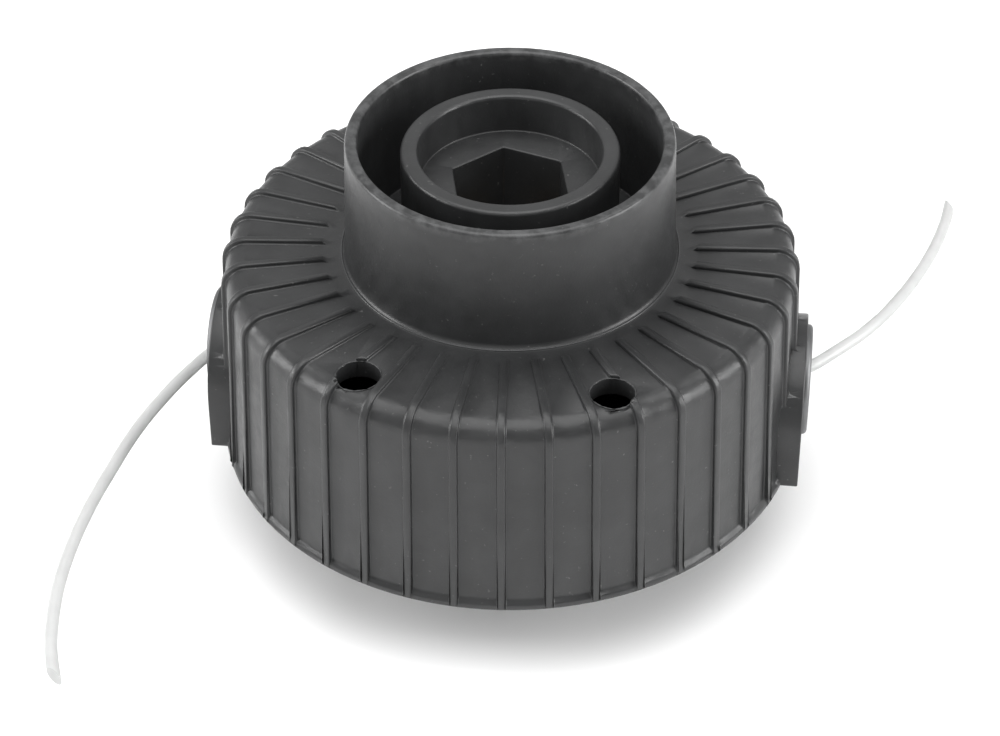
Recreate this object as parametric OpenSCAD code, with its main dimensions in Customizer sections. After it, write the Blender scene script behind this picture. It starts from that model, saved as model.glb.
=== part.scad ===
// Bump-feed line trimmer head, drive side up, standing on the foot of its bump knob.
// Z is the axis of rotation and X runs through the two line eyelets.

/* [Cup housing] */
// Outside diameter over the ribs at the rim
housing_d = 96; // [90:0.5:110]
// Height from the rim to the flat shoulder
cup_h = 35.5; // [34:0.5:44]
// Draft angle of the wall
draft = 2; // [0.5:0.25:3]
// Thickness of the wall
wall_t = 3; // [2:0.1:4]
// Thickness of the top plate
top_t = 3.2; // [2:0.1:4]
// Radius of the rounded edge between wall and shoulder
shoulder_r = 3.5; // [2:0.25:6]
// Radius of the inside corner between wall and top plate
inside_r = 2; // [1:0.25:3]

/* [Ribs] */
// Number of ribs round the housing
rib_n = 40; // [24:2:48]
// Width of a rib
rib_w = 1.3; // [0.8:0.1:2]
// Height of a rib above the surface
rib_h = 0.7; // [0.4:0.05:1.2]
// Gap between the foot of the collar and the ribs
rib_gap = 1.2; // [0.5:0.1:3]
// Length of the sloping inner end of a rib
rib_run = 1.5; // [0.5:0.1:3]
// Height of the lip round the rim
lip_h = 1; // [0.6:0.1:2]

/* [Collar and hub] */
// Outside diameter of the collar at its top
collar_d = 52.2; // [48:0.2:60]
// Height of the collar above the shoulder
collar_h = 21.3; // [16:0.1:26]
// Thickness of the collar
collar_t = 2; // [1.5:0.1:3]
// Growth of the collar's radius down to its foot
collar_flare = 0.6; // [0:0.1:1.5]
// Radius of the fillet at the foot of the collar
foot_r = 1; // [0.5:0.1:2]
// Wall between the hexagon's corners and the spring's groove
hex_wall = 2.65; // [2:0.05:3]
// Width of the spring's groove
groove_w = 2.3; // [2:0.1:2.6]
// Wall between the groove and the outside of the hub ring
groove_wall = 2.4; // [1.6:0.1:3]
// Wall of the hub ring round its pocket
ring_t = 2.8; // [2:0.1:3.4]
// How far the hub ring lies below the collar's edge
ring_drop = 2.2; // [0:0.1:5]
// Depth of the round pocket in the hub ring
pocket_depth = 6.7; // [4:0.1:8]
// Width across flats of the drive hexagon
hex_af = 17.4; // [15:0.1:19]
// Depth of the drive hexagon below the round pocket
hex_depth = 13; // [10:0.5:13]
// Turn of the hexagon's corners from the X axis
hex_turn = 42.7; // [0:0.1:60]
// Bevel on the top edges of collar and hub ring
edge_bevel = 0.4; // [0.2:0.1:0.8]

/* [Vent holes] */
// Diameter of the holes through the shoulder
vent_d = 7; // [4:0.5:8]
// How far the holes' centres lie inside the wall at the rim
vent_inset = 6.8; // [6:0.1:10]
// Angle of the holes to either side of the Y axis
vent_angle = 28.8; // [20:0.1:45]

/* [Eyelet bosses] */
// Width of the arched boss round an eyelet
boss_w = 27.2; // [24:0.2:32]
// Height of the arch above the rim
boss_h = 22; // [21.5:0.1:26]
// Distance from the axis to the face of a boss, beyond the housing's radius
boss_out = 0.8; // [0.6:0.1:3]
// Height of the eyelets above the rim
eyelet_h = 11.9; // [11:0.1:14]
// Diameter of the eyelet's flange
flange_d = 18.2; // [16:0.2:19]
// How far the flange stands out of the boss
flange_out = 0.9; // [0.8:0.1:1.4]
// How deep the flange is let into the boss
flange_sink = 0.8; // [0.4:0.1:1.2]
// Outside diameter of the eyelet's barrel
barrel_d = 9.6; // [8.8:0.1:12]
// Bore of the eyelet
eyelet_bore_d = 7; // [6.6:0.1:7.6]
// Radius of the rounded mouth of the eyelet
mouth_r = 3; // [2:0.25:3.25]
// Radius on the outer edge of the eyelet's flange
flange_r = 0.8; // [0.4:0.1:0.9]

/* [Reel] */
// Diameter of the drum that the line is wound on
drum_d = 36; // [35:0.5:40]
// Wall of the drum
drum_t = 2.2; // [1.5:0.1:3]
// Wall of the reel's bearing tube
tube_t = 2.1; // [1.5:0.1:2.4]
// Thickness of the divider between the two windings
divider_t = 1.6; // [1:0.1:2]
// Thickness of the upper flange
flange_t = 2.2; // [1.5:0.1:3]
// Thickness of the lower flange
cover_t = 2.7; // [2:0.1:3.2]
// How far the reel's hub stands above its upper flange
hub_rise = 2.1; // [1.6:0.1:3]
// Number of layers wound on the drum
layers = 4; // [2:1:5]
// Width of the slots that hold the line in the flanges
slot_w = 2.4; // [2.2:0.1:3]
// Depth of those slots
slot_depth = 3; // [2:0.5:5]
// Number of slots in each flange
slot_n = 2; // [2:1:6]
// Number of index teeth
tooth_n = 8; // [4:1:12]
// Radius of the inner end of the index teeth
tooth_r = 24; // [22:0.5:28]
// Length of a tooth along its radius
tooth_len = 4; // [3:0.5:6]
// Length of a tooth round the ring
tooth_w = 8; // [5:0.5:9]

/* [Line] */
// Diameter of the nylon line
line_d = 2; // [1.6:0.1:2]
// Play of a winding between its flanges
line_play = 0.1; // [0.05:0.05:0.3]

/* [Bump knob] */
// How far the knob stands below the rim
knob_drop = 15; // [14:0.5:18]
// Largest diameter of the knob
knob_d = 50; // [44:0.5:56]
// Diameter of the flat foot
knob_foot_d = 34; // [30:0.5:38]
// Rounding between foot and side
knob_round = 5; // [3:0.5:7]
// How much the knob grows from its rounding up to its edge
knob_flare = 1; // [0.5:0.25:2]
// Wall of the knob
knob_t = 2.5; // [2:0.1:3]
// How far the knob's edge lies below its thrust face
knob_edge = 0.6; // [0.3:0.1:1.2]
// Outside diameter of the knob's spigot
spigot_d = 22; // [21:0.5:23]
// Height of the spigot above the reel's underside
spigot_h = 12; // [8:0.5:16]
// Number of grip flutes round the knob
flute_n = 12; // [6:1:16]
// Radius of a flute
flute_r = 5; // [3:0.5:6]
// Depth of a flute
flute_depth = 1.2; // [0.5:0.1:1.6]
// Number of stiffening webs inside the knob
web_n = 6; // [4:1:8]
// Thickness of those webs
web_t = 1.6; // [1:0.1:2.5]
// How far the webs end below the knob's edge
web_drop = 1; // [0:0.5:3]
// Upward travel of knob and reel when the head is bumped
bump_travel = 5.5; // [4:0.25:6]

/* [Bolt and insert] */
// Diameter of the bolt
bolt_d = 8; // [6:0.5:8]
// Width across flats of the bolt's head
bolt_af = 13; // [10:0.5:14]
// Height of the bolt's head
head_h = 4; // [3:0.25:4.5]
// How far the head stays above the foot when the knob is bumped
head_gap = 1.1; // [0.5:0.1:1.5]
// Outside diameter of the steel washer
washer_d = 21; // [19:0.5:21]
// Thickness of the steel washer
washer_t = 1.6; // [1:0.1:2]
// Outside diameter of the sleeve that knob and bolt run on
sleeve_d = 16; // [15:0.5:16.5]
// Diameter of the brass insert
insert_d = 12; // [11:0.5:12]
// Length of the brass insert
insert_l = 9.5; // [7:0.5:10]
// How far the insert lies below the floor of the hexagon
insert_drop = 0.9; // [0.3:0.1:2]
// How far the bolt reaches into the insert
bolt_grip = 5; // [4:0.5:6]

/* [Spring] */
// Diameter of the spring wire
wire_d = 1.6; // [1.2:0.1:1.7]
// Number of coils
coils = 5; // [4:0.5:6]
// Thickness of the steel ring under the spring
seat_t = 0.8; // [0.5:0.1:1.2]
// Thickness left between the groove and the round pocket
groove_roof = 2.4; // [1.6:0.1:3]

/* [Clearances] */
// Radial clearance of parts that slide or turn on each other
run_gap = 0.06; // [0.03:0.01:0.1]
// Radial clearance of parts that are pushed into each other
fit_gap = 0.05; // [0.02:0.01:0.1]
// Clearance of the bolt in the sleeve and of the washers on the bolt
bolt_gap = 0.3; // [0.2:0.05:0.4]
// Radial room round the washer in the knob's well
well_gap = 0.5; // [0.3:0.1:0.8]
// Gap between the reel's lower flange and the wall
cover_gap = 0.7; // [0.5:0.1:1.5]
// Gap between the upper flanges and the top of the cup's wall
flange_gap = 0.6; // [0.5:0.1:2]
// Height of the reel's underside above the rim
cover_lift = 0.2; // [0:0.1:1]
// Gap left between the index teeth of reel and housing when bumped
tip_gap = 0.5; // [0.3:0.1:1]
// Gap left between the spring's ring and the top plate when bumped
seat_gap = 0.8; // [0.5:0.1:1.5]

/* [Hidden] */
$fn = 96;
// How deep ribs, teeth and tubes are sunk into what carries them
bite = 0.4;
// Angle at which the knob's rounding leaves its foot, and taper of the knob's hollow
round_from = 290;
hollow_taper = 2;

// Heights, from the foot of the knob
rim_z = knob_drop;
shoulder_z = rim_z + cup_h;
ceiling_z = shoulder_z - top_t;
collar_z = shoulder_z + collar_h;
ring_z = collar_z - ring_drop;
pocket_z = ring_z - pocket_depth;
hex_z = pocket_z - hex_depth;
groove_z = pocket_z - groove_roof;
eyelet_z = rim_z + eyelet_h;
head_z = bump_travel + head_gap;
washer_z = head_z + head_h;
stop_z = washer_z + washer_t;
cover_z = rim_z + cover_lift;
insert_z = hex_z - insert_drop - insert_l;
bolt_top_z = insert_z + bolt_grip;
seat_z = ceiling_z - bump_travel - seat_gap - seat_t;
divider_z = eyelet_z - divider_t / 2;
lower_z = cover_z + cover_t;
upper_z = divider_z + divider_t;
reel_top_z = seat_z - hub_rise;
flange_z = reel_top_z - flange_t;
tooth_h = (ceiling_z - reel_top_z - bump_travel - tip_gap) / 2;

// Radii of the cup: the outside between the ribs, and the inside, at height z
wall_r = housing_d / 2 - rib_h;
function outer_r(z) = wall_r - (z - rim_z) * tan(draft);
function inner_r(z) = outer_r(z) - wall_t / cos(draft);
collar_r = collar_d / 2;
collar_in_r = collar_r - collar_t;
collar_foot_r = collar_r + collar_flare;
rib_start_r = collar_foot_r + foot_r + rib_gap;
groove_in_r = hex_af / 2 / cos(30) + hex_wall;
groove_out_r = groove_in_r + groove_w;
ring_r = groove_out_r + groove_wall;
ring_bore_r = ring_r - ring_t;
vent_r = wall_r - vent_inset;
boss_x = housing_d / 2 + boss_out;
face_x = boss_x + flange_out;
sleeve_r = sleeve_d / 2;
slide_r = sleeve_r + run_gap;
spigot_r = spigot_d / 2;
reel_bore_r = spigot_r + run_gap;
drum_r = drum_d / 2;
cover_r = inner_r(rim_z) - cover_gap;
reel_flange_r = inner_r(reel_top_z + bump_travel) - flange_gap;
washer_r = washer_d / 2;
well_r = washer_r + well_gap;
boss_tube_r = well_r + knob_t;
spring_r = (groove_in_r + groove_out_r) / 2;
wire_r = wire_d / 2;

// Points of an arc about c, from angle a to angle b
function arc(c, r, a, b, n) =
    [for (i = [0 : n]) c + r * [cos(a + (b - a) * i / n), sin(a + (b - a) * i / n)]];

function reversed(v) = [for (i = [len(v) - 1 : -1 : 0]) v[i]];

// Centre of the shoulder's rounding, touching the drafted wall and the flat shoulder
round_z = shoulder_z - shoulder_r;
round_c = [outer_r(round_z) - shoulder_r / cos(draft), round_z];

// Outline of the cup from rim to shoulder, moved outwards by g
function cup_line(g) = concat([[wall_r + g / cos(draft), rim_z]],
    arc(round_c, shoulder_r + g, draft, 90, 8));

// Outline of the whole outside, from the axis at the rim to the axis in the round pocket
outside = concat(
    [[0, rim_z]],
    cup_line(0),
    arc([collar_foot_r + foot_r, shoulder_z + foot_r], foot_r, 270, 180, 4),
    [[collar_r, collar_z - edge_bevel],
     [collar_r - edge_bevel, collar_z],
     [collar_in_r + edge_bevel, collar_z],
     [collar_in_r, collar_z - edge_bevel],
     [collar_in_r, shoulder_z],
     [ring_r, shoulder_z],
     [ring_r, ring_z - edge_bevel],
     [ring_r - edge_bevel, ring_z],
     [ring_bore_r + edge_bevel, ring_z],
     [ring_bore_r, ring_z - edge_bevel],
     [ring_bore_r, pocket_z],
     [0, pocket_z]]);

// Section of the ribbed skin: from just inside the cup's outline to the tops of the ribs
rib_skin = concat(
    cup_line(rib_h),
    [[rib_start_r + rib_run, shoulder_z + rib_h],
     [rib_start_r, shoulder_z - bite]],
    reversed(cup_line(-bite)));

// Outline of the space inside the cup
cup_space = concat(
    [[0, rim_z - 1],
     [inner_r(rim_z - 1), rim_z - 1]],
    arc([inner_r(ceiling_z) - inside_r, ceiling_z - inside_r], inside_r, 0, 90, 4),
    [[0, ceiling_z]]);

// Route of each line tail in plan, from inside the eyelet to its cut end: the distance
// beyond the eyelet's face, and the place across the eyelet
left_route = [[-4.9, -2.2], [-3.1, -2.2], [-1.5, -2.5], [-0.3, -3.2], [0.8, -4.6],
              [2.4, -7.8], [4.3, -12], [6.1, -16.8], [7.8, -22], [9.3, -28],
              [10.5, -34.5], [11.7, -41.5], [12.5, -48.5], [12.9, -55.5], [12.8, -62.5],
              [12.1, -69], [10.9, -75.5], [8.7, -82.4]];
right_route = [[-4.9, 2.2], [-3.1, 2.2], [-1.5, 2.5], [-0.3, 3.2], [1.5, 4.9], [4.9, 8.8],
               [8.2, 12.8], [11.4, 17.6], [14.1, 22.6], [16.6, 28], [18.8, 33.6],
               [20.6, 39.2], [22, 44.8], [22.7, 48.7], [23.2, 52.6]];
tube_sides = 8;

// Direction of a route at its point i
function route_dir(route, i) =
    let (a = route[max(i - 1, 0)], b = route[min(i + 1, len(route) - 1)]) (b - a) / norm(b - a);

// Line along a route on the side of the housing that side names, 1 or -1
module line_tail(route, side) {
    r = line_d / 2;
    line = [for (p = route) [side * (face_x + p[0]), p[1]]];
    rings = [for (i = [0 : len(line) - 1])
        let (t = route_dir(line, i))
        [for (k = [0 : tube_sides - 1])
            let (a = 360 * k / tube_sides)
            [line[i][0] - t[1] * r * cos(a), line[i][1] + t[0] * r * cos(a), eyelet_z + r * sin(a)]]];
    swept(rings);
}

// Closed solid through rings of points that all have the same number of points
module swept(rings) {
    n = len(rings[0]);
    m = len(rings);
    sides = [for (i = [0 : m - 2], k = [0 : n - 1])
        [i * n + k, (i + 1) * n + k, (i + 1) * n + (k + 1) % n, i * n + (k + 1) % n]];
    first = [[for (k = [0 : n - 1]) k]];
    last = [[for (k = [n - 1 : -1 : 0]) (m - 1) * n + k]];
    polyhedron(points = [for (ring = rings, p = ring) p], faces = concat(first, sides, last));
}

// Hexagonal prism across flats af, standing on z
module hexagon(af, z, h) {
    translate([0, 0, z]) cylinder(r = af / 2 / cos(30), h = h, $fn = 6);
}

// Arched boss that reaches from inside the wall to the plane x
module boss() {
    r = boss_w / 2;
    inside_x = inner_r(rim_z) - wall_t;
    intersection() {
        union() {
            translate([inside_x, 0, rim_z + boss_h - r]) rotate([0, 90, 0])
                cylinder(r = r, h = boss_x - inside_x);
            translate([inside_x, -r, rim_z])
                cube([boss_x - inside_x, boss_w, boss_h - r]);
        }
        translate([0, -boss_w, rim_z]) cube([2 * boss_x, 2 * boss_w, cup_h]);
    }
}

// Seat of an eyelet, cut through boss and wall
module eyelet_seat() {
    translate([0, 0, eyelet_z]) rotate([0, 90, 0]) {
        translate([0, 0, reel_flange_r])
            cylinder(r = barrel_d / 2 + fit_gap, h = boss_x);
        translate([0, 0, boss_x - flange_sink])
            cylinder(r = flange_d / 2 + fit_gap, h = boss_x);
    }
}

// Ribs over wall and shoulder: the ribbed skin cut into strips through the axis
module ribs() {
    intersection() {
        rotate_extrude() polygon(rib_skin);
        union() {
            for (k = [0 : rib_n / 2 - 1])
                rotate([0, 0, (k + 0.5) * 360 / rib_n])
                    translate([-housing_d, -rib_w / 2, rim_z - 1])
                        cube([2 * housing_d, rib_w, cup_h + 5]);
        }
    }
}

// Lip round the rim, flush with the ribs
module rim_lip() {
    rotate_extrude()
        polygon([[wall_r - bite, rim_z],
                 [wall_r + rib_h, rim_z],
                 [wall_r + rib_h - lip_h * tan(draft), rim_z + lip_h],
                 [wall_r - bite, rim_z + lip_h + rib_h + bite]]);
}

// Ring of ratchet teeth of height h; each rises round the ring
module teeth(h) {
    for (k = [0 : tooth_n - 1])
        rotate([0, 0, k * 360 / tooth_n])
            translate([tooth_r, 0, 0]) rotate([90, 0, 90])
                linear_extrude(tooth_len)
                    polygon([[-tooth_w / 2, -bite], [tooth_w / 2, -bite],
                             [tooth_w / 2, h], [-tooth_w / 2, 0]]);
}

module housing() {
    color("#47494a") difference() {
        union() {
            difference() {
                union() {
                    rotate_extrude() polygon(outside);
                    ribs();
                    rim_lip();
                    boss();
                    mirror([1, 0, 0]) boss();
                }
                rotate_extrude() polygon(cup_space);
            }
            translate([0, 0, stop_z])
                cylinder(r = sleeve_r, h = ceiling_z + bite - stop_z);
            translate([0, 0, ceiling_z]) mirror([0, 0, 1]) teeth(tooth_h);
        }
        eyelet_seat();
        mirror([1, 0, 0]) eyelet_seat();
        for (side = [-90, 90], turn = [-vent_angle, vent_angle])
            rotate([0, 0, side + turn])
                translate([vent_r, 0, ceiling_z - inside_r])
                    cylinder(r = vent_d / 2, h = top_t + inside_r + 2);
        rotate([0, 0, hex_turn]) hexagon(hex_af, hex_z, hex_depth + 1);
        translate([0, 0, insert_z])
            cylinder(r = insert_d / 2 + fit_gap, h = hex_z - insert_z + 1);
        translate([0, 0, stop_z - 1])
            cylinder(r = bolt_d / 2 + bolt_gap, h = insert_z - stop_z + 2);
        translate([0, 0, ceiling_z - bite]) difference() {
            cylinder(r = groove_out_r, h = groove_z - ceiling_z + bite);
            translate([0, 0, -1]) cylinder(r = groove_in_r, h = groove_z - ceiling_z + 3);
        }
    }
}

// Metal eyelet with a rounded mouth, turned about the X axis
module eyelet() {
    bore = eyelet_bore_d / 2;
    back = inner_r(eyelet_z);
    seat = boss_x - flange_sink;
    outer = flange_d / 2;
    translate([0, 0, eyelet_z]) rotate([0, 90, 0]) rotate_extrude() difference() {
        union() {
            translate([bore, back + fit_gap]) square([barrel_d / 2 - bore, face_x - back - 2 * fit_gap]);
            translate([bore, seat]) square([outer - bore, face_x - seat - flange_r]);
            translate([bore, seat]) square([outer - flange_r - bore, face_x - seat]);
            translate([outer - flange_r, face_x - flange_r]) circle(r = flange_r);
        }
        difference() {
            translate([bore - 1, face_x - mouth_r]) square([mouth_r + 1, mouth_r + 1]);
            translate([bore + mouth_r, face_x - mouth_r]) circle(r = mouth_r);
        }
    }
}

module eyelet_left() {
    color("#b9bcbf") mirror([1, 0, 0]) eyelet();
}

module eyelet_right() {
    color("#b9bcbf") eyelet();
}

// Brass insert that takes the bolt from below and the drive spindle from above
module threaded_insert() {
    color("#b08d3e") translate([0, 0, insert_z]) difference() {
        cylinder(r = insert_d / 2, h = insert_l);
        translate([0, 0, -1]) cylinder(r = bolt_d / 2 + fit_gap, h = insert_l + 2);
    }
}

module knob_bolt() {
    color("#8d9092") {
        hexagon(bolt_af, head_z, head_h);
        translate([0, 0, head_z])
            cylinder(r = bolt_d / 2, h = bolt_top_z - head_z);
    }
}

module bolt_washer() {
    color("#a3a6a8") translate([0, 0, washer_z]) difference() {
        cylinder(r = washer_r, h = washer_t);
        translate([0, 0, -1]) cylinder(r = bolt_d / 2 + bolt_gap, h = washer_t + 2);
    }
}

// Knob that slides on the sleeve: a hollow shell, a tube round the bolt's head and a spigot
module bump_knob() {
    top_z = cover_z - knob_edge;
    foot = knob_foot_d / 2;
    side = knob_d / 2;
    shell = concat(
        [[0, 0], [foot, 0]],
        arc([side - knob_flare - knob_round, knob_round], knob_round, round_from, 360, 6),
        [[side, top_z], [0, top_z]]);
    color("#3d3f40") difference() {
        union() {
            difference() {
                rotate_extrude() polygon(shell);
                knob_space(top_z);
            }
            cylinder(r = boss_tube_r, h = cover_z);
            translate([0, 0, stop_z]) cylinder(r = spigot_r, h = cover_z + spigot_h - stop_z);
        }
        translate([0, 0, -1]) cylinder(r = slide_r, h = cover_z + spigot_h + 2);
        translate([0, 0, -1]) cylinder(r = well_r, h = stop_z + 1);
        for (k = [0 : flute_n - 1])
            rotate([0, 0, (k + 0.5) * 360 / flute_n])
                translate([side + flute_r - flute_depth, 0, -1])
                    cylinder(r = flute_r, h = cover_z + 1);
    }
}

// Hollow of the knob between its shell and its tube, less the webs
module knob_space(top_z) {
    out_r = knob_d / 2 - knob_flare - knob_t - flute_depth;
    difference() {
        translate([0, 0, knob_t]) cylinder(r1 = out_r - hollow_taper, r2 = out_r, h = top_z);
        cylinder(r = boss_tube_r - bite, h = 2 * top_z);
        for (k = [0 : web_n - 1])
            rotate([0, 0, k * 360 / web_n])
                translate([0, -web_t / 2, 0]) cube([knob_d, web_t, top_z - web_drop]);
    }
}

// Reel with two chambers; its lower flange closes the cup
module reel() {
    section = [
        [reel_bore_r, cover_z], [cover_r, cover_z], [cover_r, lower_z],
        [drum_r, lower_z], [drum_r, divider_z],
        [reel_flange_r, divider_z], [reel_flange_r, upper_z],
        [drum_r, upper_z], [drum_r, flange_z],
        [reel_flange_r, flange_z], [reel_flange_r, reel_top_z],
        [drum_r, reel_top_z], [drum_r, seat_z], [reel_bore_r, seat_z]];
    color("#2f3133") {
        difference() {
            rotate_extrude() polygon(section);
            translate([0, 0, cover_z - 1]) difference() {
                cylinder(r = drum_r - drum_t, h = seat_z - drum_t - cover_z + 1);
                translate([0, 0, -1])
                    cylinder(r = reel_bore_r + tube_t, h = seat_z - cover_z + 3);
            }
            for (k = [0 : slot_n - 1])
                rotate([0, 0, 90 + k * 360 / slot_n])
                    translate([reel_flange_r - slot_depth, -slot_w / 2, lower_z + line_d])
                        cube([slot_depth + 1, slot_w, seat_z - lower_z]);
        }
        translate([0, 0, reel_top_z]) teeth(tooth_h);
    }
}

// Wound line in the chamber from z to top: a solid core with the outermost turns round
module winding(z, top) {
    turns = max(1, floor((top - z - line_play) / line_d));
    out_r = drum_r + fit_gap + layers * line_d;
    translate([0, 0, z + line_play]) rotate_extrude() {
        translate([drum_r + fit_gap, 0])
            square([out_r - line_d / 2 - drum_r - fit_gap, turns * line_d]);
        for (i = [0 : turns - 1])
            translate([out_r - line_d / 2, (i + 0.5) * line_d]) circle(r = line_d / 2, $fn = 32);
    }
}

module line_winding_lower() {
    color("#e3e4e1") winding(lower_z, divider_z);
}

module line_winding_upper() {
    color("#e3e4e1") winding(upper_z, flange_z);
}

// Steel ring that the spring presses on
module spring_ring() {
    color("#a3a6a8") translate([0, 0, seat_z]) difference() {
        cylinder(r = groove_out_r + fit_gap, h = seat_t);
        translate([0, 0, -1]) cylinder(r = groove_in_r - fit_gap, h = seat_t + 2);
    }
}

// Compression spring between the ring on the reel and the roof of the hub's groove
module spring() {
    step = 360 / 16;
    low = seat_z + seat_t + wire_r;
    high = groove_z - wire_r;
    n = coils * 16;
    rings = [for (i = [0 : n])
        [for (k = [0 : tube_sides - 1])
            let (a = i * step, b = -360 * k / tube_sides, r = spring_r + wire_r * cos(b))
            [r * cos(a), r * sin(a), low + (high - low) * i / n + wire_r * sin(b)]]];
    color("#8d9092") swept(rings);
}

module line_tail_left() {
    color("#e3e4e1") line_tail(left_route, -1);
}

module line_tail_right() {
    color("#e3e4e1") line_tail(right_route, 1);
}

housing();
eyelet_left();
eyelet_right();
threaded_insert();
knob_bolt();
bolt_washer();
bump_knob();
reel();
line_winding_lower();
line_winding_upper();
spring_ring();
spring();
line_tail_left();
line_tail_right();
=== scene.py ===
"""Bump-feed line trimmer head: finishes, the nylon line and small moulding details over the packed frame."""
import math

import bmesh
import bpy
import numpy as np
from mathutils import Matrix, Vector


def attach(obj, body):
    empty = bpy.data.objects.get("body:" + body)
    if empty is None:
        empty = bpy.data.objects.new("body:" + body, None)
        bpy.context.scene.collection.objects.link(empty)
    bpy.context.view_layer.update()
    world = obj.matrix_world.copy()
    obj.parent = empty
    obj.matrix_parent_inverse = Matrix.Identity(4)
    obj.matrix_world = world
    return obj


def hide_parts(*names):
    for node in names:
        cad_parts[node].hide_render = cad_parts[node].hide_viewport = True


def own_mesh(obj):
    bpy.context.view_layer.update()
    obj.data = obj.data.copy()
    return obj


bl_info = {
    "name": "Line Trimmer Head",
    "version": (1, 0, 0),
    "blender": (4, 5, 0),
    "location": "3D View > Sidebar > Trimmer Head",
    "description": "Dresses the frame of a bump-feed line trimmer head and sets it in a small studio",
    "category": "Object",
}

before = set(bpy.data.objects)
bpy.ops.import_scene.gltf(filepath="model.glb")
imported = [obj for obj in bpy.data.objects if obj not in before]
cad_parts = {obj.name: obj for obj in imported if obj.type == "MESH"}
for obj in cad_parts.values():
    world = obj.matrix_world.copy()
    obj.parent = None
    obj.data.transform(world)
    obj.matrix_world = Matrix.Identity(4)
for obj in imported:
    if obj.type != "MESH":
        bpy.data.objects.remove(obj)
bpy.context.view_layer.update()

MM = 0.001

# Route of each line tail in plan, in millimetres, from inside the eyelet to its cut end: the
# distance beyond the eyelet's face, and the place across the eyelet
LEFT_ROUTE = [
    [-4.9, -2.2], [-3.1, -2.2], [-1.5, -2.5], [-0.3, -3.2], [0.8, -4.6], [2.4, -7.8],
    [4.3, -12], [6.1, -16.8], [7.8, -22], [9.3, -28], [10.5, -34.5], [11.7, -41.5],
    [12.5, -48.5], [12.9, -55.5], [12.8, -62.5], [12.1, -69], [10.9, -75.5], [8.7, -82.4]]
RIGHT_ROUTE = [
    [-4.9, 2.2], [-3.1, 2.2], [-1.5, 2.5], [-0.3, 3.2], [1.5, 4.9], [4.9, 8.8], [8.2, 12.8],
    [11.4, 17.6], [14.1, 22.6], [16.6, 28], [18.8, 33.6], [20.6, 39.2], [22, 44.8],
    [22.7, 48.7], [23.2, 52.6]]
FACE_X = 49.7 * MM
EYELET_Z = 26.9 * MM

# The cut end of a tail: how far its slope is turned about the line, and how many radii it spans
CUT_TURN = 0.3
CUT_STRETCH = 7

# The eyelet's metal is smooth and bright within one radius, where the brightness is a painted highlight at the
# mouth, and dull dark grey beyond the other
POLISH_AND_HIGHLIGHT_R = 5.2 * MM
DULL_R = 6.8 * MM

# Corners nearer than this are one corner, and faces that turn less than this are one face
MERGE_DISTANCE = 0.002 * MM
FLAT_ANGLE = math.radians(0.5)

# The arched outline of an eyelet boss
BOSS_ARCH_Z = 23.4 * MM
BOSS_R = 13.75 * MM

# The cup's shoulder, and the holes through it
SHOULDER_Z = 50.5 * MM
SHOULDER_R = 3.5 * MM
ROUND_START_R = 42.68 * MM
VENT_R = 40.5 * MM
VENT_ANGLES = np.radians([-118.8, -61.2, 61.2, 118.8])

# The thin bead round the collar's foot, whose lighter colour is a painted highlight
FOOT_LINE_R = 27.25 * MM
FOOT_LINE_Z = 50.62 * MM

# The collar's edge is rubbed from the first height up, fully from the second
RUBBED_FROM = 70.0 * MM
RUBBED_FULL = 71.6 * MM

# The spring between the reel's ring and the roof of the hub's groove
SPRING_LOW = 41.0 * MM
SPRING_HIGH = 60.5 * MM
SPRING_R = 13.85 * MM
SPRING_COILS = 5

# The threaded bore under the drive hexagon, above the end of the bolt
BORE_R = 4.05 * MM
BORE_SHELL_R = 4.3 * MM
BORE_LOW = 44.7 * MM
BORE_HIGH = 48.9 * MM

# The floor, just under the knob's foot
FLOOR_Z = -0.1 * MM
FLOOR_REACH = 3.0


# ------------------------------------------------------------------ meshes

def grid_faces(rows, columns, close_columns=True):
    """Quads of a grid of rows x columns points.

    Each joins a point to its neighbours in the next row and column, and the last column to the
    first where the grid closes.
    """
    wide = columns if close_columns else columns - 1
    i, j = np.meshgrid(np.arange(rows - 1), np.arange(wide), indexing="ij")
    k = (j + 1) % columns
    here, below = i * columns, (i + 1) * columns
    return np.stack([here + j, here + k, below + k, below + j], -1).reshape(-1, 4)


def make_piece(name, points, quads, caps=()):
    """A shaded-smooth mesh object at the origin from an array of points, an array of quads and any end caps."""
    mesh = bpy.data.meshes.new(name)
    faces = quads.tolist() + [list(map(int, cap)) for cap in caps]
    mesh.from_pydata(points.reshape(-1, 3).tolist(), [], faces)
    mesh.polygons.foreach_set("use_smooth", np.ones(len(mesh.polygons), dtype=bool))
    mesh.validate()
    mesh.update()
    piece = bpy.data.objects.new(name, mesh)
    bpy.context.scene.collection.objects.link(piece)
    return piece


def smooth_route(route, steps):
    """Points of a Catmull-Rom curve through the route.

    Each stretch is the cubic whose end slopes are half the chord between the neighbours on
    either side.
    """
    p = np.vstack([2 * route[0] - route[1], route, 2 * route[-1] - route[-2]])
    a, b, c, d = p[:-3], p[1:-2], p[2:-1], p[3:]
    t = (np.arange(steps) / steps)[None, :, None]
    a, b, c, d = (x[:, None, :] for x in (a, b, c, d))
    square, cube = 2 * a - 5 * b + 4 * c - d, 3 * b - a - 3 * c + d
    curve = 0.5 * (2 * b + (c - a) * t + square * t ** 2 + cube * t ** 3)
    return np.vstack([curve.reshape(-1, route.shape[1]), route[-1:]])


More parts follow.
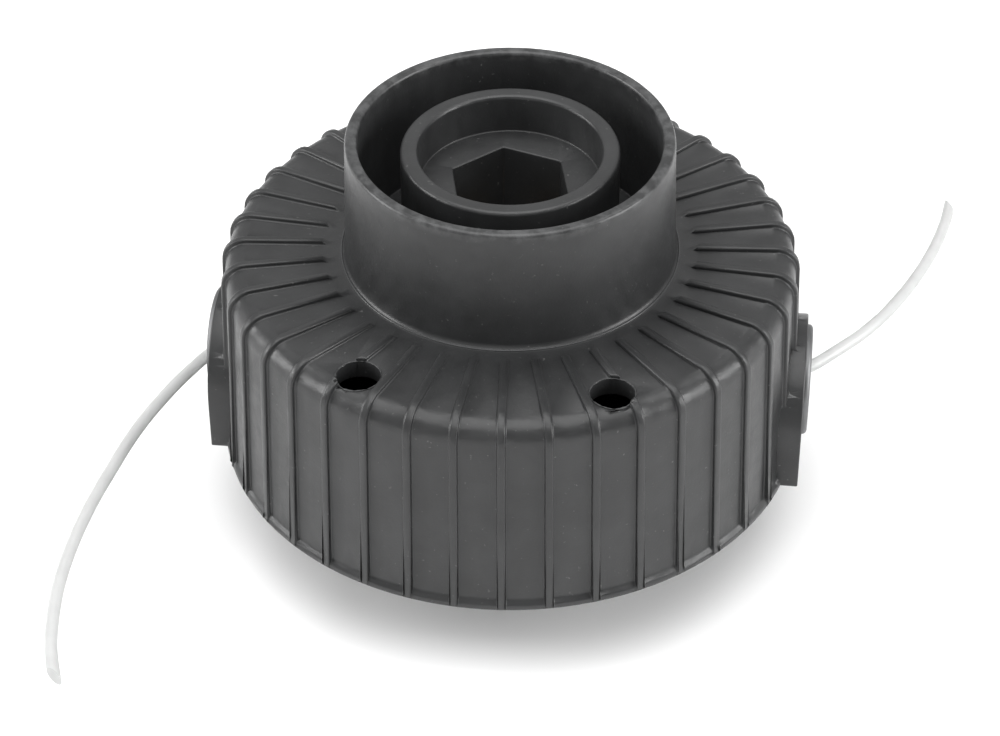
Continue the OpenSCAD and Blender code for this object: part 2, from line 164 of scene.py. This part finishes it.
def line_tube(name, path, radius, sides, cut):
    """Tube along a level path: at each point a circle across the path's direction.

    Near the end each point slips back along the path by the cut's slope across the tube, times
    the square of how far it is into the last stretch, so that the end is cut aslant.
    """
    along = np.gradient(path, axis=0)
    along /= np.linalg.norm(along, axis=1, keepdims=True)
    across = np.stack([-along[:, 1], along[:, 0], np.zeros(len(path))], -1)
    angle = 2 * np.pi * np.arange(sides) / sides
    ring = across[:, None, :] * np.cos(angle)[None, :, None] * radius
    ring[..., 2] += np.sin(angle)[None, :] * radius
    points = path[:, None, :] + ring
    lean = radius * math.tan(cut) * (1 - np.cos(angle + CUT_TURN))
    run = np.append(0, np.linalg.norm(np.diff(path, axis=0), axis=1).cumsum())
    into = np.clip(1 - (run[-1] - run) / (CUT_STRETCH * radius), 0, 1) ** 2
    points -= along[:, None, :] * (into[:, None] * lean[None, :])[..., None]
    n = len(path)
    first = np.arange(sides)
    tube = make_piece(name, points, grid_faces(n, sides), [first[::-1], first + (n - 1) * sides])
    tube.data.set_sharp_from_angle(angle=math.radians(40))
    return tube


def at_boss(place):
    """Whether a place lies within the arched outline of an eyelet boss."""
    over_leg = max(0.0, place.z - BOSS_ARCH_Z)
    return abs(place.x) > 42.5 * MM and math.hypot(place.y, over_leg) < BOSS_R


def softened(name, node, radius, angle):
    """Copy of a CAD node with whole faces, and edges rounded by the radius as a mould leaves them.

    Edges sharper than the angle are rounded. The corner round the foot of each eyelet boss stays
    crisp.
    """
    shape = bmesh.new()
    shape.from_mesh(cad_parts[node].data)
    bmesh.ops.remove_doubles(shape, verts=shape.verts, dist=MERGE_DISTANCE)
    bmesh.ops.dissolve_limit(shape, angle_limit=FLAT_ANGLE, verts=shape.verts, edges=shape.edges)
    bmesh.ops.triangulate(shape, faces=[f for f in shape.faces if len(f.verts) > 4])
    for face in shape.faces:
        face.smooth = True
    weight = shape.edges.layers.float.new("bevel_weight_edge")
    for edge in shape.edges:
        turn = edge.calc_face_angle_signed(0.0)
        foot = turn < -angle and all(at_boss(corner.co) for corner in edge.verts)
        edge[weight] = 1.0 if abs(turn) > angle and not foot else 0.0
        edge.smooth = not foot
    mesh = bpy.data.meshes.new(name)
    shape.to_mesh(mesh)
    shape.free()
    piece = bpy.data.objects.new(name, mesh)
    bpy.context.scene.collection.objects.link(piece)
    bevel = piece.modifiers.new("mould radius", "BEVEL")
    bevel.width = radius
    bevel.segments = 3
    bevel.limit_method = "WEIGHT"
    bevel.use_clamp_overlap = False
    bevel.harden_normals = True
    bevel.miter_outer = "MITER_ARC"
    return piece


def shoulder_height(r):
    """Height of the cup's outside at radius r: the flat shoulder, then the quarter round down to the wall."""
    over = np.clip(r - ROUND_START_R, 0, SHOULDER_R)
    return SHOULDER_Z - SHOULDER_R + np.sqrt(SHOULDER_R ** 2 - over ** 2)


def vent_burrs(name, hole_r, thickness):
    """Ragged raised edge round each hole.

    A thin tube on the circle where the hole meets the shoulder, whose thickness and height waver
    as a sum of sines.
    """
    u = 2 * np.pi * np.arange(120) / 120
    v = 2 * np.pi * np.arange(8) / 8
    rings = []
    for number, turn in enumerate(VENT_ANGLES):
        waver = (0.6 + 0.25 * np.sin(5 * u + number) + 0.2 * np.sin(11 * u + 2.1 * number)
                 + 0.15 * np.sin(23 * u))
        thick = thickness * np.clip(waver, 0.15, None)
        ring = hole_r + 0.2 * thickness + thick[:, None] * np.cos(v)[None, :]
        x = VENT_R + ring * np.cos(u)[:, None]
        y = ring * np.sin(u)[:, None]
        base = shoulder_height(np.hypot(x, y)) + thick[:, None] * (0.9 * np.sin(v)[None, :])
        cos, sin = np.cos(turn), np.sin(turn)
        rings.append(np.stack([x * cos - y * sin, x * sin + y * cos, base], -1))
    points = np.array(rings)
    one = grid_faces(121, 8)[:, ::-1] % (120 * 8)
    quads = np.vstack([one + k * 120 * 8 for k in range(len(rings))])
    return make_piece(name, points, quads)


def foot_line(name, radius, thickness):
    """Bead round the collar's foot, given a lighter colour as a painted highlight.

    A thin tube on a circle, whose thickness wavers as a sum of sines.
    """
    u = 2 * np.pi * np.arange(360) / 360
    v = 2 * np.pi * np.arange(10) / 10
    thick = thickness * (0.85 + 0.1 * np.sin(7 * u) + 0.08 * np.sin(17 * u + 1))
    ring = radius + thick[:, None] * np.cos(v)[None, :]
    height = FOOT_LINE_Z + thick[:, None] * np.sin(v)[None, :]
    points = np.stack([ring * np.cos(u)[:, None], ring * np.sin(u)[:, None], height], -1)
    return make_piece(name, points, grid_faces(361, 10)[:, ::-1] % (360 * 10))


def coil_spring(name, low, high, radius, wire, coils):
    """Compression spring: a circle of the wire's radius on a helix that climbs from low to high."""
    turn = np.linspace(0, 2 * np.pi * coils, 48 * coils + 1)[:, None]
    v = (-2 * np.pi * np.arange(14) / 14)[None, :]
    ring = radius + wire * np.cos(v)
    centre = low + wire + (high - low - 2 * wire) * turn / turn[-1, 0]
    points = np.stack([ring * np.cos(turn), ring * np.sin(turn), centre + wire * np.sin(v)], -1)
    first = np.arange(14)
    quads = grid_faces(len(turn), 14)
    return make_piece(name, points, quads, [first[::-1], first + (len(turn) - 1) * 14])


def bore_thread(name, pitch, depth):
    """Thread in a bore.

    At height z and angle a the radius is the bore's less the depth times a triangle wave of
    z / pitch - a / full turn. The shell closes over a plain outer cylinder in the brass.
    """
    rows, columns = 57, 72
    z = np.linspace(BORE_LOW, BORE_HIGH, rows)[:, None]
    a = (2 * np.pi * np.arange(columns) / columns)[None, :]
    wave = 1 - np.abs(2 * np.mod(z / pitch - a / (2 * np.pi), 1) - 1)
    inner = BORE_R - depth * wave
    one = np.ones((1, columns))
    outer = BORE_SHELL_R * one
    radius = np.vstack([outer, inner, outer, outer])
    height = np.vstack([BORE_LOW * one, np.repeat(z, columns, 1), BORE_HIGH * one, BORE_LOW * one])
    angle = np.repeat(a, len(radius), 0)
    points = np.stack([radius * np.cos(angle), radius * np.sin(angle), height], -1)
    quads = grid_faces(len(radius), columns)[:, ::-1]
    return make_piece(name, points, quads)


# --------------------------------------------------------------- materials

def new_material(name):
    """An empty node material with its Principled shader, and a helper that adds and links nodes."""
    material = bpy.data.materials.new(name)
    material.use_nodes = True
    tree = material.node_tree
    shader = tree.nodes["Principled BSDF"]

    def add(kind, **inputs):
        node = tree.nodes.new(kind)
        for key, value in inputs.items():
            socket = node.inputs[key.replace("_", " ")]
            if isinstance(value, bpy.types.NodeSocket):
                tree.links.new(value, socket)
            else:
                socket.default_value = value
        return node

    return material, shader, add, tree.links.new


def ramp(add, value, low, high, bottom, top):
    """A number that goes from bottom to top as value goes from low to high."""
    node = add("ShaderNodeMapRange", Value=value)
    for key, number in (("From Min", low), ("From Max", high), ("To Min", bottom), ("To Max", top)):
        node.inputs[key].default_value = number
    return node.outputs["Result"]


def shade(colour, factor):
    """The colour made lighter or darker by a factor, as four numbers."""
    return (*[min(1.0, c * factor) for c in colour[:3]], 1.0)


def moulded_nylon(name, colour, roughness, dust):
    """Satin moulded nylon.

    Broad pale and dark clouds, a fine eroded grain in the relief, a scatter of pale specks, and
    grey rubbed places on the collar's upper edge.
    """
    material, shader, add, link = new_material(name)
    place = add("ShaderNodeTexCoord").outputs["Object"]
    clouds = add("ShaderNodeTexNoise", Vector=place, Scale=120.0, Detail=4.0, Roughness=0.55).outputs["Fac"]
    grain = add("ShaderNodeTexNoise", Vector=place, Scale=2600.0, Detail=3.0, Roughness=0.6).outputs["Fac"]
    specks = add("ShaderNodeTexNoise", Vector=place, Scale=1500.0, Detail=2.0, Roughness=0.5).outputs["Fac"]
    streaks = add("ShaderNodeTexNoise", Vector=place, Scale=420.0, Detail=6.0, Roughness=0.65).outputs["Fac"]
    mix = add("ShaderNodeMix")
    mix.data_type = "RGBA"
    link(ramp(add, clouds, 0.35, 0.65, 0.0, 1.0), mix.inputs["Factor"])
    mix.inputs["A"].default_value = shade(colour, 0.84)
    mix.inputs["B"].default_value = shade(colour, 1.16)
    pale = add("ShaderNodeMix")
    pale.data_type = "RGBA"
    link(ramp(add, specks, 0.70, 0.78, 0.0, dust), pale.inputs["Factor"])
    link(mix.outputs["Result"], pale.inputs["A"])
    pale.inputs["B"].default_value = (0.2, 0.2, 0.195, 1.0)
    height = add("ShaderNodeSeparateXYZ", Vector=place).outputs["Z"]
    worn = add("ShaderNodeMath")
    worn.operation = "MULTIPLY"
    link(ramp(add, height, RUBBED_FROM, RUBBED_FULL, 0.0, 1.0), worn.inputs[0])
    link(ramp(add, streaks, 0.42, 0.62, 0.0, 0.75), worn.inputs[1])
    rubbed = add("ShaderNodeMix")
    rubbed.data_type = "RGBA"
    link(worn.outputs["Value"], rubbed.inputs["Factor"])
    link(pale.outputs["Result"], rubbed.inputs["A"])
    rubbed.inputs["B"].default_value = (0.075, 0.076, 0.077, 1.0)
    link(rubbed.outputs["Result"], shader.inputs["Base Color"])
    link(ramp(add, streaks, 0.3, 0.7, roughness - 0.05, roughness + 0.07), shader.inputs["Roughness"])
    relief = add("ShaderNodeBump", Height=grain, Strength=0.28, Distance=0.00008)
    link(relief.outputs["Normal"], shader.inputs["Normal"])
    shader.inputs["IOR"].default_value = 1.46
    return material


def turned_metal(name, colour, roughness):
    """Turned or plated metal: fine rings and a cloudy film that change how sharply it shines."""
    material, shader, add, link = new_material(name)
    place = add("ShaderNodeTexCoord").outputs["Object"]
    film = add("ShaderNodeTexNoise", Vector=place, Scale=350.0, Detail=5.0, Roughness=0.6).outputs["Fac"]
    fine = add("ShaderNodeTexNoise", Vector=place, Scale=5200.0, Detail=2.0, Roughness=0.5).outputs["Fac"]
    mix = add("ShaderNodeMix")
    mix.data_type = "RGBA"
    link(ramp(add, film, 0.35, 0.7, 0.0, 1.0), mix.inputs["Factor"])
    mix.inputs["A"].default_value = shade(colour, 1.0)
    mix.inputs["B"].default_value = shade(colour, 0.82)
    link(mix.outputs["Result"], shader.inputs["Base Color"])
    link(ramp(add, film, 0.3, 0.7, roughness, roughness + 0.14), shader.inputs["Roughness"])
    relief = add("ShaderNodeBump", Height=fine, Strength=0.12, Distance=0.00002)
    link(relief.outputs["Normal"], shader.inputs["Normal"])
    shader.inputs["Metallic"].default_value = 1.0
    return material


def eyelet_with_painted_highlight(name, colour):
    """Dull grey metal, smoother round the mouth and brighter there as a painted highlight.

    The distance from the eyelet's axis sets how bright and smooth it is.
    """
    material, shader, add, link = new_material(name)
    place = add("ShaderNodeTexCoord").outputs["Object"]
    film = add("ShaderNodeTexNoise", Vector=place, Scale=500.0, Detail=5.0, Roughness=0.6).outputs["Fac"]
    flat = add("ShaderNodeVectorMath")
    flat.operation = "MULTIPLY"
    link(place, flat.inputs[0])
    flat.inputs[1].default_value = (0.0, 1.0, 1.0)
    far = add("ShaderNodeVectorMath")
    far.operation = "DISTANCE"
    link(flat.outputs["Vector"], far.inputs[0])
    far.inputs[1].default_value = (0.0, 0.0, EYELET_Z)
    # Full within the first radius: the bright colour there is a painted highlight at the mouth
    polish_and_highlight = ramp(add, far.outputs["Value"], POLISH_AND_HIGHLIGHT_R, DULL_R, 1.0, 0.0)
    mix = add("ShaderNodeMix")
    mix.data_type = "RGBA"
    link(polish_and_highlight, mix.inputs["Factor"])
    mix.inputs["A"].default_value = shade(colour, 0.22)
    mix.inputs["B"].default_value = shade(colour, 1.0)
    link(mix.outputs["Result"], shader.inputs["Base Color"])
    dull = add("ShaderNodeMath")
    dull.operation = "SUBTRACT"
    link(ramp(add, film, 0.3, 0.7, 0.42, 0.6), dull.inputs[0])
    link(ramp(add, polish_and_highlight, 0.0, 1.0, 0.0, 0.22), dull.inputs[1])
    link(dull.outputs["Value"], shader.inputs["Roughness"])
    relief = add("ShaderNodeBump", Height=film, Strength=0.2, Distance=0.00003)
    link(relief.outputs["Normal"], shader.inputs["Normal"])
    shader.inputs["Metallic"].default_value = 1.0
    return material


def clear_nylon(name, colour, clearness):
    """Milky nylon line: part clear, part scattering, with faint cloudy streaks from the drawing."""
    material, shader, add, link = new_material(name)
    place = add("ShaderNodeTexCoord").outputs["Object"]
    cloud = add("ShaderNodeTexNoise", Vector=place, Scale=260.0, Detail=4.0, Roughness=0.5).outputs["Fac"]
    mix = add("ShaderNodeMix")
    mix.data_type = "RGBA"
    link(ramp(add, cloud, 0.35, 0.65, 0.0, 1.0), mix.inputs["Factor"])
    mix.inputs["A"].default_value = shade(colour, 1.0)
    mix.inputs["B"].default_value = shade(colour, 0.92)
    link(mix.outputs["Result"], shader.inputs["Base Color"])
    link(ramp(add, cloud, 0.3, 0.7, 0.28, 0.42), shader.inputs["Roughness"])
    shader.inputs["Transmission Weight"].default_value = clearness
    shader.inputs["IOR"].default_value = 1.53
    return material


def dress(piece, material):
    """Gives a piece this material alone."""
    piece.data.materials.clear()
    piece.data.materials.append(material)


# ---------------------------------------------------------------- settings

def colour_property(name, description, default):
    """A colour that a user can pick."""
    return bpy.props.FloatVectorProperty(
        name=name, description=description, subtype="COLOR", size=3, min=0.0, max=1.0, default=default)


def share_property(name, description, low, high, default):
    """A share between two limits."""
    return bpy.props.FloatProperty(
        name=name, description=description, subtype="FACTOR", min=low, max=high, default=default)


def length_property(name, description, low, high, default):
    """A length in metres between two limits."""
    return bpy.props.FloatProperty(
        name=name, description=description, subtype="DISTANCE", unit="LENGTH", precision=5,
        min=low, max=high, default=default)


def power_property(name, description, default):
    """The power of a light in watts."""
    return bpy.props.FloatProperty(
        name=name, description=description, unit="POWER", min=0.0, max=100.0, default=default)


class TrimmerFinishes(bpy.types.PropertyGroup):
    """Colours and surface of the trimmer head."""

    housing_colour: colour_property("Housing", "Colour of the moulded cup housing", (0.0225, 0.023, 0.0235))
    knob_colour: colour_property("Knob", "Colour of the bump knob", (0.02, 0.0205, 0.021))
    reel_colour: colour_property("Reel", "Colour of the line reel", (0.017, 0.0175, 0.018))
    line_colour: colour_property("Line", "Tint of the nylon line", (0.65, 0.655, 0.65))
    eyelet_colour: colour_property("Eyelets", "Colour of the metal eyelets", (0.78, 0.79, 0.8))
    brass_colour: colour_property("Insert", "Colour of the brass insert", (0.28, 0.2, 0.1))
    steel_colour: colour_property("Steel", "Colour of bolt, washer, ring and spring", (0.52, 0.53, 0.54))
    satin: share_property("Satin", "Roughness of the moulded nylon", 0.2, 0.8, 0.36)
    dust: share_property("Specks", "How strongly pale specks show on the nylon", 0.0, 1.0, 0.35)
    clearness: share_property("Clearness", "How clear the nylon line is", 0.0, 1.0, 0.42)


class TrimmerDetails(bpy.types.PropertyGroup):
    """Sizes of the pieces that are added to the frame."""

    line_diameter: length_property("Line diameter", "Diameter of the nylon line", 0.001, 0.003, 0.002)
    cut_angle: bpy.props.FloatProperty(
        name="Cut", description="Slope of the line's cut end",
        subtype="ANGLE", unit="ROTATION", min=0.0, max=1.1, default=math.radians(54))
    vent_radius: length_property(
        "Hole radius", "Radius of the holes through the shoulder",
        0.002, 0.005, 0.0035)
    edge_radius: length_property(
        "Edge radius", "Rounding of the housing's moulded edges",
        0.00005, 0.0005, 0.00026)
    burr: length_property(
        "Burr", "Thickness of the ragged edge round the holes",
        0.00002, 0.0004, 0.00016)
    # The foot line's lighter colour is a painted highlight
    foot_line: length_property(
        "Foot line", "Radius of the polished line round the collar's foot",
        0.00005, 0.0004, 0.0002)
    wire_diameter: length_property(
        "Spring wire", "Diameter of the spring's wire",
        0.0008, 0.0018, 0.0016)
    thread_pitch: length_property("Thread pitch", "Pitch of the insert's thread", 0.0008, 0.002, 0.00125)
    thread_depth: length_property("Thread depth", "Depth of the insert's thread", 0.0002, 0.001, 0.0006)


class TrimmerStudio(bpy.types.PropertyGroup):
    """Floor, lights and camera."""

    floor_colour: colour_property("Floor", "Colour of the floor", (0.9, 0.9, 0.9))
    sky: bpy.props.FloatProperty(
        name="Surroundings", description="Brightness of the white surroundings",
        min=0.0, max=5.0, default=0.76)
    top_power: power_property("Top light", "Power of the large light above", 11.0)
    front_power: power_property("Front light", "Power of the light in front", 1.2)
    side_power: power_property("Side lights", "Power of each light at the side", 7.0)
    lens: bpy.props.FloatProperty(
        name="Lens", description="Focal length of the camera in millimetres",
        unit="CAMERA", min=20.0, max=300.0, default=108.0)


# --------------------------------------------------------------- operators

class TRIMMER_OT_camera(bpy.types.Operator):
    """Sets the camera at the photograph's viewing angle"""

    bl_idname = "trimmer.camera"
    bl_label = "Camera"

    def execute(self, context):
        eye = Vector((0.04285, -0.3858, 0.3415))
        target = Vector((-0.00176, -0.0002, 0.02498))
        data = bpy.data.cameras.new("camera")
        data.sensor_width = 36.0
        data.lens = context.scene.trimmer_studio.lens
        data.clip_start = 0.01
        data.clip_end = 20.0
        camera = bpy.data.objects.new("camera", data)
        context.scene.collection.objects.link(camera)
        look = (target - eye).to_track_quat("-Z", "Y").to_matrix().to_4x4()
        camera.matrix_world = Matrix.Translation(eye) @ look @ Matrix.Rotation(math.radians(-0.29), 4, "Z")
        context.scene.camera = camera
        return {"FINISHED"}


class TRIMMER_OT_line(bpy.types.Operator):
    """Lays the two nylon line tails out of the eyelets and finishes the wound line"""

    bl_idname = "trimmer.line"
    bl_label = "Nylon line"

    def execute(self, context):
        finishes, details = context.scene.trimmer_finishes, context.scene.trimmer_details
        nylon = clear_nylon("milky nylon line", finishes.line_colour, finishes.clearness)
        for side, sign, route in (("left", -1, LEFT_ROUTE), ("right", 1, RIGHT_ROUTE)):
            plan = smooth_route(MM * np.array(route) * [sign, 1] + [sign * FACE_X, 0], 8)
            path = np.column_stack([plan, np.full(len(plan), EYELET_Z)])
            tail = line_tube(f"cut_line_{side}", path, details.line_diameter / 2, 24, details.cut_angle)
            dress(tail, nylon)
            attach(tail, "housing")
            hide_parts(f"line_tail_{side}")
        for name in ("line_winding_lower", "line_winding_upper"):
            dress(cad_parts[name], nylon)
        return {"FINISHED"}


class TRIMMER_OT_mouldings(bpy.types.Operator):
    """Finishes the moulded housing, bump knob and reel"""

    bl_idname = "trimmer.mouldings"
    bl_label = "Moulded parts"

    def execute(self, context):
        finishes, details = context.scene.trimmer_finishes, context.scene.trimmer_details
        cup = softened("moulded_housing", "housing", details.edge_radius, math.radians(40))
        dress(cup, moulded_nylon("housing nylon", finishes.housing_colour, finishes.satin, finishes.dust))
        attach(cup, "housing")
        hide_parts("housing")
        for node, colour in (("bump_knob", finishes.knob_colour), ("reel", finishes.reel_colour)):
            dress(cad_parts[node], moulded_nylon(f"{node} nylon", colour, finishes.satin, finishes.dust))
        return {"FINISHED"}


class TRIMMER_OT_mould_marks(bpy.types.Operator):
    """Raises the ragged edges of the vent holes and the bead round the collar's foot, coloured as a painted
    highlight
    """

    bl_idname = "trimmer.mould_marks"
    bl_label = "Mould marks and highlight"

    def execute(self, context):
        finishes, details = context.scene.trimmer_finishes, context.scene.trimmer_details
        burrs = vent_burrs("vent_burrs", details.vent_radius, details.burr)
        pale = shade(finishes.housing_colour, 1.5)
        dress(burrs, moulded_nylon("burr nylon", pale, finishes.satin, finishes.dust))
        line = foot_line("collar_foot_line", FOOT_LINE_R, details.foot_line)
        # The bead's colour, lighter than the housing's, is a painted highlight; its lower roughness lets it
        # catch the side lights
        dress(line, moulded_nylon("painted highlight nylon", shade(finishes.housing_colour, 1.8), 0.3, 0.0))
        for piece in (burrs, line):
            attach(piece, "housing")
        return {"FINISHED"}


class TRIMMER_OT_metal(bpy.types.Operator):
    """Finishes the eyelets, bolt, washer, ring, spring and brass insert, and cuts the insert's thread"""

    bl_idname = "trimmer.metal"
    bl_label = "Metal parts"

    def execute(self, context):
        finishes, details = context.scene.trimmer_finishes, context.scene.trimmer_details
        # The eyelets' bright mouths are a painted highlight
        bright = eyelet_with_painted_highlight("aluminium with painted highlight", finishes.eyelet_colour)
        steel = turned_metal("zinc-plated steel", finishes.steel_colour, 0.32)
        wire = turned_metal("spring wire", shade(finishes.steel_colour, 0.8), 0.28)
        brass = turned_metal("turned brass", finishes.brass_colour, 0.3)
        for node, material in (("eyelet_left", bright), ("eyelet_right", bright), ("knob_bolt", steel),
                               ("bolt_washer", steel), ("spring_ring", steel), ("threaded_insert", brass)):
            dress(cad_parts[node], material)
        coil = coil_spring("coil_spring", SPRING_LOW, SPRING_HIGH, SPRING_R,
                           details.wire_diameter / 2, SPRING_COILS)
        dress(coil, wire)
        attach(coil, "housing")
        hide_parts("spring")
        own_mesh(coil)
        thread = bore_thread("insert_thread", details.thread_pitch, details.thread_depth)
        dress(thread, brass)
        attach(thread, "housing")
        return {"FINISHED"}


class TRIMMER_OT_stage(bpy.types.Operator):
    """Sets the floor, the soft lights and the white surroundings"""

    bl_idname = "trimmer.stage"
    bl_label = "Studio"

    def execute(self, context):
        studio = context.scene.trimmer_studio
        corner = np.array([-FLOOR_REACH, FLOOR_REACH])
        x, y = np.meshgrid(corner, corner)
        floor = make_piece("floor", np.stack([x, y, np.full_like(x, FLOOR_Z)], -1), grid_faces(2, 2, False))
        material, shader, _, _ = new_material("pale floor")
        shader.inputs["Base Color"].default_value = (*studio.floor_colour, 1.0)
        shader.inputs["Roughness"].default_value = 0.9
        dress(floor, material)
        for name, place, size, power in (
                ("top light", (0.0, -0.1, 1.0), 1.1, studio.top_power),
                ("front light", (-0.15, -0.95, 0.45), 0.7, studio.front_power),
                ("left light", (-0.9, -0.1, 0.4), 0.5, studio.side_power),
                ("right light", (0.9, -0.1, 0.35), 0.5, studio.side_power)):
            data = bpy.data.lights.new(name, "AREA")
            data.shape = "SQUARE"
            data.size = size
            data.energy = power
            light = bpy.data.objects.new(name, data)
            light.location = place
            light.rotation_euler = (Vector((0, 0, 0.03)) - Vector(place)).to_track_quat("-Z", "Y").to_euler()
            context.scene.collection.objects.link(light)
        world = bpy.data.worlds.new("white surroundings")
        world.use_nodes = True
        tree = world.node_tree
        place = tree.nodes.new("ShaderNodeTexCoord")
        toward = tree.nodes.new("ShaderNodeVectorMath")
        toward.operation = "DOT_PRODUCT"
        toward.inputs[1].default_value = (0.0, 0.45, 0.6)
        rise = tree.nodes.new("ShaderNodeMapRange")
        for key, number in (("From Min", 0.0), ("From Max", 0.75), ("To Min", 0.28), ("To Max", 1.0)):
            rise.inputs[key].default_value = number
        tree.links.new(place.outputs["Generated"], toward.inputs[0])
        tree.links.new(toward.outputs["Value"], rise.inputs["Value"])
        tree.links.new(rise.outputs["Result"], tree.nodes["Background"].inputs["Color"])
        tree.nodes["Background"].inputs["Strength"].default_value = studio.sky
        context.scene.world = world
        context.scene.view_settings.view_transform = "Standard"
        return {"FINISHED"}


class TRIMMER_PT_panel(bpy.types.Panel):
    """Sizes, colours and steps of the trimmer head"""

    bl_idname = "TRIMMER_PT_panel"
    bl_label = "Trimmer Head"
    bl_space_type = "VIEW_3D"
    bl_region_type = "UI"
    bl_category = "Trimmer Head"

    def draw(self, context):
        for key, kind in GROUPS:
            box = self.layout.box()
            box.label(text=kind.__doc__)
            for setting in kind.__annotations__:
                box.prop(getattr(context.scene, key), setting)
        column = self.layout.column()
        for operator in OPERATORS:
            column.operator(operator.bl_idname)


GROUPS = (("trimmer_finishes", TrimmerFinishes), ("trimmer_details", TrimmerDetails),
          ("trimmer_studio", TrimmerStudio))
OPERATORS = (TRIMMER_OT_camera, TRIMMER_OT_line, TRIMMER_OT_mouldings, TRIMMER_OT_mould_marks,
             TRIMMER_OT_metal, TRIMMER_OT_stage)


def register():
    """Adds the settings, the operators and the panel."""
    for key, group in GROUPS:
        bpy.utils.register_class(group)
        setattr(bpy.types.Scene, key, bpy.props.PointerProperty(type=group))
    for operator in OPERATORS:
        bpy.utils.register_class(operator)
    bpy.utils.register_class(TRIMMER_PT_panel)


def unregister():
    """Takes the panel, the operators and the settings away again."""
    bpy.utils.unregister_class(TRIMMER_PT_panel)
    for operator in reversed(OPERATORS):
        bpy.utils.unregister_class(operator)
    for key, group in reversed(GROUPS):
        delattr(bpy.types.Scene, key)
        bpy.utils.unregister_class(group)


def main():
    """Registers everything and runs the steps in order."""
    register()
    bpy.ops.trimmer.camera()
    bpy.ops.trimmer.line()
    bpy.ops.trimmer.mouldings()
    bpy.ops.trimmer.mould_marks()
    bpy.ops.trimmer.metal()
    bpy.ops.trimmer.stage()


if __name__ == "__main__":
    main()
